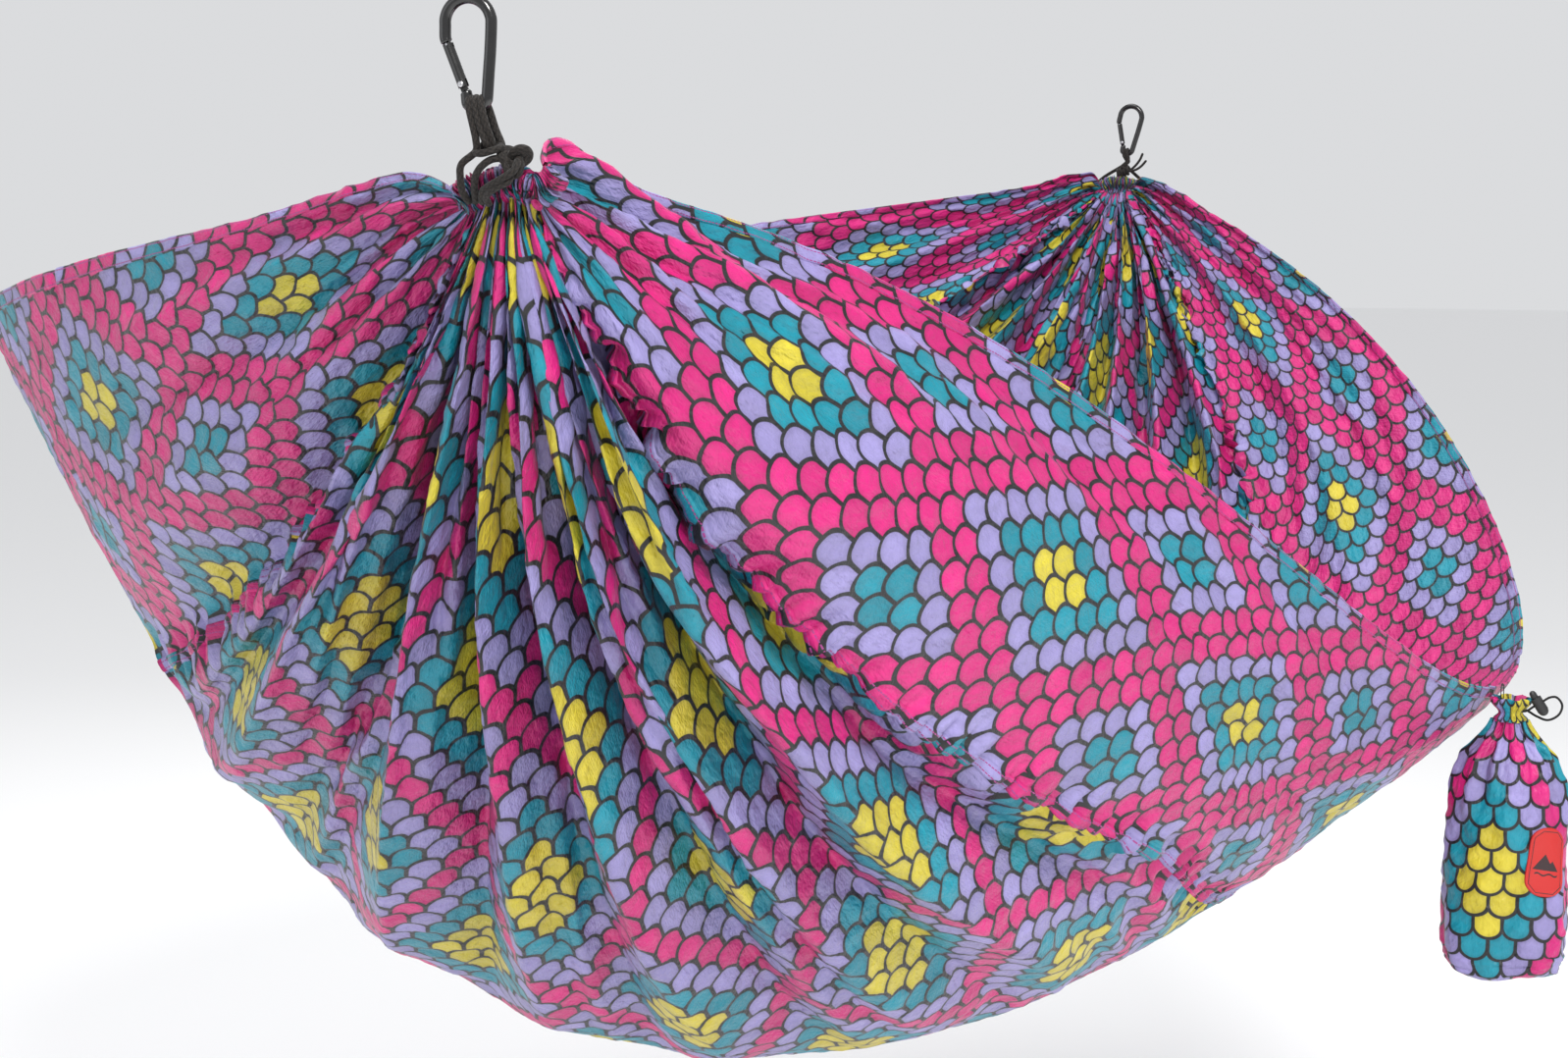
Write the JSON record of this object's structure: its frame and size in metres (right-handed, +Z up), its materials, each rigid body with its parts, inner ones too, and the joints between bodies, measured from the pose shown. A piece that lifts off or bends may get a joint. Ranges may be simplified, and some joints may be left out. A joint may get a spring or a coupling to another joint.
{
  "type": "camping hammock",
  "caption": "Gathered-end fabric hammock of three sewn panels, hung by end ropes on two spring-gate snap hooks, with a stuff sack sewn to one hem.",
  "frame": {"origin": "the near hang point, inside the crown of the near snap hook, where the support strap bears", "axes": "+X from the near end to the far end, +Y to the left side, +Z up"},
  "size_m": [2.4766, 1.6557, 1.0318],
  "materials": {
    "printed_nylon": "satin",
    "rope": "matte",
    "hook_black": "gloss",
    "steel": "satin",
    "lock_plastic": "matte",
    "patch": "matte"
  },
  "bodies": {
    "hammock": {"centre_panel": "printed_nylon", "left_side_panel": "printed_nylon", "right_side_panel": "printed_nylon", "near_end_channel": "printed_nylon", "far_end_channel": "printed_nylon", "near_end_rope": "rope", "far_end_rope": "rope", "far_rope_tail_a": "rope", "far_rope_tail_b": "rope", "sack_tab": "rope"},
    "near_hook": {"near_hook_frame": "hook_black", "near_gate_rivet": "steel"},
    "near_hook_gate": {"near_gate": "hook_black", "near_nose_pin": "steel", "near_gate_follower": "steel", "near_gate_spring": "steel"},
    "far_hook": {"far_hook_frame": "hook_black", "far_gate_rivet": "steel"},
    "far_hook_gate": {"far_gate": "hook_black", "far_nose_pin": "steel", "far_gate_follower": "steel", "far_gate_spring": "steel"},
    "stuff_sack": {"sack_body": "printed_nylon", "sack_mouth_casing": "printed_nylon", "sack_patch": "patch", "sack_drawcord": "rope"},
    "cord_lock": {"cord_lock_barrel": "lock_plastic", "cord_lock_spring": "steel"},
    "lock_button": {"cord_lock_button": "lock_plastic"}
  },
  "joints": [
    {"name": "near_hook_swing", "type": "hinge", "parent": "hammock", "child": "near_hook", "pos_m": [0, -0.005, -0.068], "axis": [0, 1, 0], "range_deg": [-35, 35]},
    {"name": "near_gate_hinge", "type": "hinge", "parent": "near_hook", "child": "near_hook_gate", "pos_m": [0, 0.0044, -0.0525], "axis": [1, 0, 0], "range_deg": [0, 26], "stiffness_Nm_per_rad": 0.15, "springref_deg": -14.32},
    {"name": "far_hook_swing", "type": "hinge", "parent": "hammock", "child": "far_hook", "pos_m": [2.457, -0.02875, -0.07255], "axis": [0, 0.9781, 0.2079], "range_deg": [-35, 35]},
    {"name": "far_gate_hinge", "type": "hinge", "parent": "far_hook", "child": "far_hook_gate", "pos_m": [2.457, -0.02278, -0.05544], "axis": [1, 0, 0], "range_deg": [0, 26], "stiffness_Nm_per_rad": 0.15, "springref_deg": -14.32},
    {"name": "sack_swing", "type": "hinge", "parent": "hammock", "child": "stuff_sack", "pos_m": [1.30785, -0.6423, -0.66147], "axis": [-1, 0, 0], "range_deg": [0, 50]},
    {"name": "cord_lock_slide", "type": "slide", "parent": "stuff_sack", "child": "cord_lock", "axis": [0, -0.8359, 0.5488], "range_m": [0, 0.005]},
    {"name": "lock_button_press", "type": "slide", "parent": "cord_lock", "child": "lock_button", "axis": [0, -0.5488, -0.8359], "range_m": [0, 0.0024], "stiffness_N_per_m": 250, "springref_m": -0.006, "deforming": ["cord_lock_spring"]}
  ]
}
